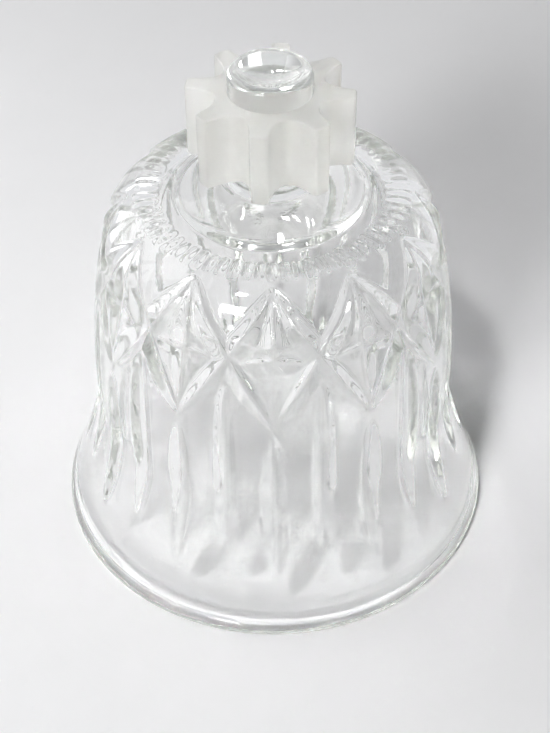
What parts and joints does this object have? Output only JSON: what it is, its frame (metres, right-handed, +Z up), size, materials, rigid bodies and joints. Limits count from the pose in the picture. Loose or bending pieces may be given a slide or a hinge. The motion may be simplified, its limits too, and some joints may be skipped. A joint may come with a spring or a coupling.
{
  "type": "votive candle holder",
  "caption": "Clear pressed-glass votive candle cup with a flared rim, cut diamonds and a peg, and a soft star grommet that wedges the peg in a candlestick",
  "frame": {"origin": "on the cup's axis, in the plane that the rim rests on, as the object stands in the picture", "axes": "+Z up along the peg, which is the cup's axis of symmetry; -Y faces the picture's viewer, +X to the viewer's right"},
  "size_m": [0.082, 0.082, 0.095],
  "materials": {
    "clear_glass": "clear pressed soda-lime glass, fire polished, faintly grey-green in its thick edges",
    "frosted_vinyl": "translucent frosty soft vinyl, satin, with a faint warm tint"
  },
  "bodies": {
    "glass": {"glass_cup": "clear_glass"},
    "grommet": {"star_grommet": "frosted_vinyl"}
  },
  "joints": [
    {"name": "grommet_slide", "type": "slide", "parent": "glass", "child": "grommet", "axis": [0, 0, 1], "range_m": [-0.0024, 0.022]}
  ]
}
